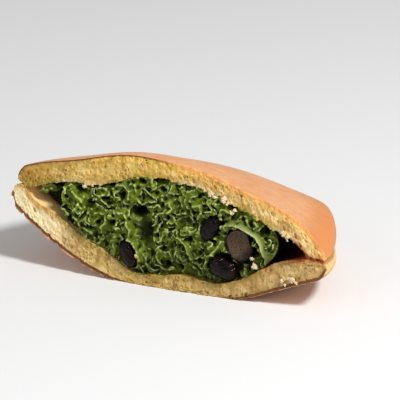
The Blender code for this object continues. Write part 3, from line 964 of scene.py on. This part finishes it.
def castella_skin(look, patch, middle, pale_side):
    """Browned skin, darker in a ring near the rim, with a pale rim and a brown seam where the rims meet,
    painted shade in the crevice between them.
    """
    rim, side, along = look.attributes("rim", "side", "along")
    right_end = look.both(look.step(along, 30, 42), look.step(rim, 0.78, 0.94))
    low = look.step(look.shifted(side, middle, 0.15), pale_side, pale_side - 0.35)
    pores = look.step(look.cells(0.8), 0.26, 0.08)
    pale = look.layered(look.ramp(middle, RIM_TONES, 0.15), ((0.50, 0.25, 0.07), 0.4, pores))
    return look.layered(
        look.ramp(look.noise(9, 3), SKIN_TONES, 0.25),
        ((0.70, 0.27, 0.085), 0.5, look.step(look.noise(3.2, 2), 0.48, 0.62)),  # mottling
        ((0.82, 0.45, 0.22), 0.35, look.step(look.noise(0.45, 4, 0.7), 0.42, 0.72)),  # speckles
        ((0.42, 0.16, 0.05), 0.25, look.step(look.noise(0.8, 3), 0.60, 0.72)),  # dark spots
        ((0.56, 0.21, 0.06), 0.65, look.step(look.shifted(rim, patch, 0.03), 0.74, 0.92)),  # ring
        ((0.67, 0.24, 0.070), 0.8, right_end),
        (pale, 1.0, look.both(low, look.step(rim, 0.9, 0.95))),
        ((0.40, 0.14, 0.035), 0.8, look.step(look.shifted(side, middle, 0.1), -0.55, -0.85)),  # seam: painted shade in the crevice between the rims
    )


def castella_crumb(look, patch, middle, bake):
    """Open crumb, tinted along the cut and soaked green at the cream, with painted light on its crests and
    painted shade in its pits, along its inner edge and, dark brown, in the crease at the right.
    """
    step, both, shifted = look.step, look.both, look.shifted
    along, inner, depth = look.attributes("along", "inner_depth", "skin_depth")
    hollow, torn_edge = look.attributes("hollow", "torn")
    from_left = look.sum(both(along, 0.5 * MM / RADIUS), 0.5)
    blotch = both(step(look.noise(2.2, 1), 0.55, 0.70), step(along, -38, -30))
    baked = both(step(look.noise(1.7, 1), 0.50, 0.66), step(along, -20, -28))
    warm_edge = both(step(shifted(inner, middle, 0.6), 1.5, 0.4), step(along, -27, -33))
    to_right = step(along, bake.outer_from, bake.outer_from + 20)
    outer = both(step(shifted(depth, patch, 0.8), 2.8, 0.5), to_right)
    moist = both(step(along, -24, -9), step(along, 12, -1))
    moist = both(moist, step(look.noise(3.5, 2), 0.42, 0.62))
    at_cream = both(step(shifted(inner, patch, 1.5), 1.9, 0.1), step(along, 32, 26))
    soaked = look.math("MAXIMUM", at_cream, both(moist, 0.8))
    flecks = both(step(look.noise(0.9, 2), 0.52, 0.62), step(shifted(inner, patch, 1.2), 1.3, 0.1))
    whitish = both(step(shifted(inner, middle, 1.2), 1.5, 0.3), step(torn_edge, 0.75, 1.05))
    crease_edge = both(step(shifted(inner, middle, 0.6), 1.7, 0.5), step(along, 33, 39))
    crease = both(step(shifted(inner, middle, 0.3), 0.7, 0.3), step(along, 33, 37))
    return look.layered(
        look.ramp(shifted(patch, middle, 0.22), CRUMB_TONES, 0.25),
        ((0.40, 0.22, 0.055), 0.5, step(hollow, 0.02, 0.11)),  # pits: painted shade
        ((0.95, 0.80, 0.52), 0.45, step(hollow, -0.02, -0.08)),  # crests: painted light
        # tints along the cut, on the lower pancake darker in the middle and to the right as painted shade
        (look.ramp(from_left, bake.tints), 1.0, 1.0, TINT),
        ((0.36, 0.27, 0.045), 0.6 - 0.2 * bake.pale_end, blotch),
        # pale left tip, on the lower pancake partly paler crumb and partly painted light
        ((1.0, 0.83, 0.49), bake.pale_end, step(along, -24, -36)),
        ((0.74, 0.40, 0.10), 0.45 * (1 - bake.pale_end), baked),
        ((0.92, 0.50, 0.17), bake.pale_end, warm_edge),
        (bake.outer_tint, 1.0, outer, TINT),
        # darker towards the inner edge at the cream: painted shade
        ((0.66, 0.60, 0.52), 1.0, step(shifted(inner, patch, 0.9), 2.4, 0.2), TINT),
        ((0.54, 0.41, 0.045), bake.stain, soaked),
        ((0.16, 0.13, 0.015), bake.stain, flecks),
        ((0.90, 0.68, 0.40), 0.6, whitish),
        ((0.62, 0.27, 0.06), 0.8, crease_edge),
        # dark brown in the crease where the pancakes meet at the right: painted shade
        ((0.26, 0.065, 0.013), 1.0, crease),
    )


def castella(name, bake):
    """Baked pancake: browned skin, a line where it is cut, golden to pale crumb, and inner faces in painted
    light at the left and in painted shade, brown to dark, to the right and deeper in.
    """
    look = Look(name)
    depth, rim, side, along, behind = look.attributes("skin_depth", "rim", "side", "along", "behind")
    broad, patch, middle = look.noise(9, 3), look.noise(2.6, 2), look.noise(1.0, 3)
    golden = look.step(look.shifted(along, broad, 6), bake.line_from, bake.line_from + 14)
    # the skin's line on the cut, dark or golden; its greater width on the lower pancake is partly painted
    # shade under the edge
    line = look.mix(golden, (0.17, 0.06, 0.014), (0.90, 0.44, 0.12))
    line_width = look.sum(look.both(golden, 1.2 - bake.line_width), bake.line_width)
    in_line = look.math("LESS_THAN", look.shifted(depth, middle, 0.2), line_width)
    skin = castella_skin(look, patch, middle, bake.pale_side)
    crumb = castella_crumb(look, patch, middle, bake)
    cut = look.mix(look.step(depth, 0.2, 0.06), look.mix(in_line, crumb, line), skin)
    # inner faces: golden, brighter at the left as painted light, brown to the right and dark deeper behind
    # the cut as painted shade
    inside = look.mix(look.step(along, -24, 10), (1.0, 0.68, 0.29), (0.50, 0.20, 0.05))
    inside = look.mix(look.step(behind, 2.5, 8.0), inside, (0.38, 0.08, 0.02))
    baked = look.mix(look.both(look.step(side, -0.35, -0.7), look.step(rim, 0.96, 0.90)), skin, inside)
    colour = look.mix(look.step(behind, 0.3, 1.0), cut, baked)
    look.set(Subsurface_Weight=0.1, Subsurface_Scale=1.2 * MM)
    look.shader.inputs["Subsurface Radius"].default_value = (1.0, 0.6, 0.3)
    grain = look.sum(look.sum(look.noise(0.3, 2), look.cells(0.5)), look.noise(1.2, 2))
    dimples = look.sum(look.both(look.noise(2.4, 1), 5.0), look.both(look.noise(1.0, 1), 2.0))
    return look.finished(colour, 0.55, 0.3, look.sum(grain, dimples), 0.12, 0.4)


def crumb_look():
    look = Look("pale_crumb")
    fine = look.noise(0.4, 3)
    return look.finished(look.ramp(fine, LOOSE_CRUMB_TONES, 0.2), 0.7, 0.25, fine, 0.1, 0.5)


def matcha():
    """Moist torn bean cream, light green on its ridges and crests as painted light, and nearly black in its
    pits, deeper behind the cut and round the beans as painted shade.
    """
    look = Look("torn_matcha_cream")
    hollow, sunk, pit, tone = look.attributes("hollow", "sunk", "pit", "tone")
    behind, by_bean, lip, above_bottom = look.attributes("behind", "by_bean", "lip", "above_bottom")
    patch, fine = look.noise(2.4, 3), look.noise(0.35, 3)
    tone = look.shifted(tone, look.noise(1.1, 3), 0.6)
    shade_by_bean = look.step(look.shifted(by_bean, patch, 0.15), 1.25, 1.02)
    body = look.layered(
        look.ramp(patch, CREAM_TONES, 0.2),
        ((0.23, 0.29, 0.030), 1.0, look.step(sunk, -0.08, -0.32)),  # ridges: painted light
        ((0.40, 0.47, 0.195), 1.0, look.step(hollow, -0.015, -0.08)),  # crests: painted light
        ((0.012, 0.016, 0.001), 1.0, look.step(sunk, 0.04, 0.24)),  # hollows: painted shade
        ((0.008, 0.011, 0.001), 0.85, look.step(hollow, 0.02, 0.07)),  # cracks: painted shade
        # lighter and darker places; those round the second bean are painted shade
        ((1.65, 1.72, 1.6), 0.8, look.step(tone, 0.1, 0.9), TINT),
        ((0.016, 0.022, 0.001), 0.8, look.step(tone, -0.1, -0.9)),
        # paler green on the lip's crest: painted light
        ((0.48, 0.52, 0.21), 0.7, lip),
        # darker in the pits: painted shade
        ((0.012, 0.017, 0.001), 0.9, look.step(pit, 0.7, 1.9)),
        # darker deeper behind the cut: painted shade
        ((0.005, 0.007, 0.001), 0.92, look.step(behind, 1.2, 3.2)),
        ((0.50, 0.48, 0.45), 0.8, look.step(above_bottom, 8.0, 0.5), TINT),
        # nearly black round the beans: painted shade
        ((0.006, 0.006, 0.002), 1.0, look.both(shade_by_bean, look.step(behind, -0.6, 0.5))),
    )
    dull = look.sum(look.both(look.step(behind, 0.5, 2.5), 0.5), 0.4)
    return look.finished(body, dull, 0.12, fine, 0.12, 0.5)


def adzuki():
    """Boiled bean: glossy dark skin, and mealy grey-brown flesh where it is cut, darker towards one end as
    painted shade.
    """
    look = Look("boiled_adzuki")
    inward, end = look.attributes("inward", "end")
    patch, fine = look.noise(1.5, 3), look.noise(0.35, 3)
    skin = look.ramp(patch, BEAN_TONES, 0.15)
    # one end of the cut flesh darker: painted shade
    shaded_end = look.step(look.shifted(end, patch, 0.3), 0.1, 0.9)
    flesh = look.layered(look.ramp(fine, FLESH_TONES, 0.2), (skin, 0.85, shaded_end))
    cut = look.step(look.shifted(inward, patch, 0.2), 0.25, 0.6)
    rough = look.sum(look.both(cut, 0.5), 0.18)
    return look.finished(look.mix(cut, skin, flesh), rough, 0.16, fine, 0.06, 0.4)


# Stage

CAMERA_AZIMUTH, CAMERA_ELEVATION = 24.6, 19.5
CAMERA_DISTANCE = 0.9
FRAME_WIDTH = 0.106  # what the picture takes in at the object
SENSOR_WIDTH = 36
FLOOR_SIZE = 6
SKY_STRENGTH = 0.38


def floor():
    bpy.ops.mesh.primitive_plane_add(size=FLOOR_SIZE)
    plane = bpy.context.object
    plane.name = "floor"
    look = Look("pale_floor")
    look.set(Base_Color=(0.80, 0.80, 0.80), Roughness=0.9, Specular_IOR_Level=0.1)
    plane.data.materials.append(look.material)


def look_from(obj, azimuth, elevation, distance):
    """Places obj and turns it to the object's middle. Azimuth 0 is in front of the cut, 90 to its right."""
    around, up = math.radians(azimuth), math.radians(elevation)
    out = Vector((math.sin(around) * math.cos(up), -math.cos(around) * math.cos(up), math.sin(up)))
    low, high = CAD_BOX
    middle = (Vector(low) + Vector(high)) / 2
    obj.location = middle + out * distance
    obj.rotation_euler = (-out).to_track_quat("-Z", "Y").to_euler()


def area_light(name, azimuth, elevation, distance, size, watts):
    data = bpy.data.lights.new(name, "AREA")
    data.shape = "DISK"
    data.size = size
    data.energy = watts
    look_from(linked(name, data), azimuth, elevation, distance)


def camera():
    data = bpy.data.cameras.new("camera")
    data.sensor_width = SENSOR_WIDTH
    data.lens = SENSOR_WIDTH * CAMERA_DISTANCE / FRAME_WIDTH
    data.clip_start = 0.01
    obj = linked("camera", data)
    look_from(obj, CAMERA_AZIMUTH, CAMERA_ELEVATION, CAMERA_DISTANCE)
    bpy.context.scene.camera = obj


def light():
    world = bpy.context.scene.world or bpy.data.worlds.new("world")
    bpy.context.scene.world = world
    world.use_nodes = True
    sky = world.node_tree.nodes["Background"]
    sky.inputs["Color"].default_value = (1, 1, 1, 1)
    sky.inputs["Strength"].default_value = SKY_STRENGTH
    area_light("key", azimuth=70, elevation=50, distance=0.8, size=0.16, watts=6.0)
    area_light("front", azimuth=-25, elevation=30, distance=0.9, size=0.5, watts=0.8)
    bpy.context.scene.view_settings.view_transform = "Standard"


def main():
    upper_look, lower_look = castella("castella_upper", UPPER_BAKE), castella("castella_lower", LOWER_BAKE)
    pancake("upper_pancake", upper_layer, 1, 11, upper_look, lambda x: UPPER_SCALLOPS, upper_raggedness)
    pancake("lower_pancake", lower_layer, -1, 12, lower_look, lower_scallops, lambda x: LOWER_TORN)
    cream(matcha())
    skin = adzuki()
    for number in range(len(BEANS)):
        moist_bean(number, skin)
    crumbs(crumb_look())
    floor()
    light()
    camera()


main()
